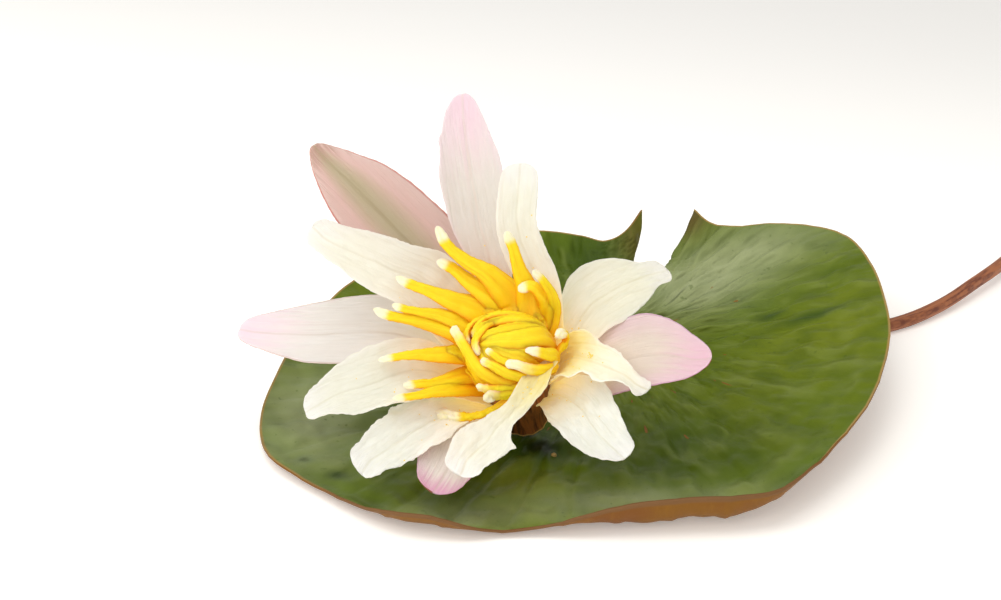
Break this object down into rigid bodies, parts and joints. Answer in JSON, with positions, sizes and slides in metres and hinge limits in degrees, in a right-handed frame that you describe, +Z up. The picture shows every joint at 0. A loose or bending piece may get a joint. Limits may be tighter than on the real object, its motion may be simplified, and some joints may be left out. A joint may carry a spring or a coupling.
{
  "type": "water lily pad with flower",
  "caption": "Round floating leaf with a slit to its centre and a trailing stalk, with one open many-petalled flower resting on its upper face.",
  "frame": {"origin": "on the surface that the leaf lies on, under the flat middle of the leaf", "axes": "+Z up, +X to the right of the view with the flower in front, along the leaf and its trailing stalk, +Y to the back, where the leaf's slit opens"},
  "size_m": [0.1831, 0.1493, 0.0673],
  "materials": {
    "leaf_green": "gloss",
    "stalk_brown": "satin",
    "base_brown": "satin",
    "sepal_pink": "matte",
    "petal_cream": "matte",
    "stamen_yellow": "matte"
  },
  "bodies": {
    "root": {"leaf_blade": "leaf_green", "leaf_stalk": "stalk_brown", "flower_base": "base_brown", "sepal_back_left": "sepal_pink", "sepal_left": "sepal_pink", "sepal_front": "sepal_pink", "sepal_right": "sepal_pink", "petal_back": "petal_cream", "petal_back_left": "petal_cream", "petal_left": "petal_cream", "petal_front_left": "petal_cream", "petal_front_right": "petal_cream", "petal_front": "petal_cream", "petal_right": "petal_cream", "petal_back_right": "petal_cream", "petal_upright": "petal_cream", "stamen_01": "stamen_yellow", "stamen_02": "stamen_yellow", "stamen_03": "stamen_yellow", "stamen_04": "stamen_yellow", "stamen_05": "stamen_yellow", "stamen_06": "stamen_yellow", "stamen_07": "stamen_yellow", "stamen_08": "stamen_yellow", "stamen_09": "stamen_yellow", "stamen_10": "stamen_yellow", "stamen_11": "stamen_yellow", "inner_stamens": "stamen_yellow"}
  },
  "joints": []
}
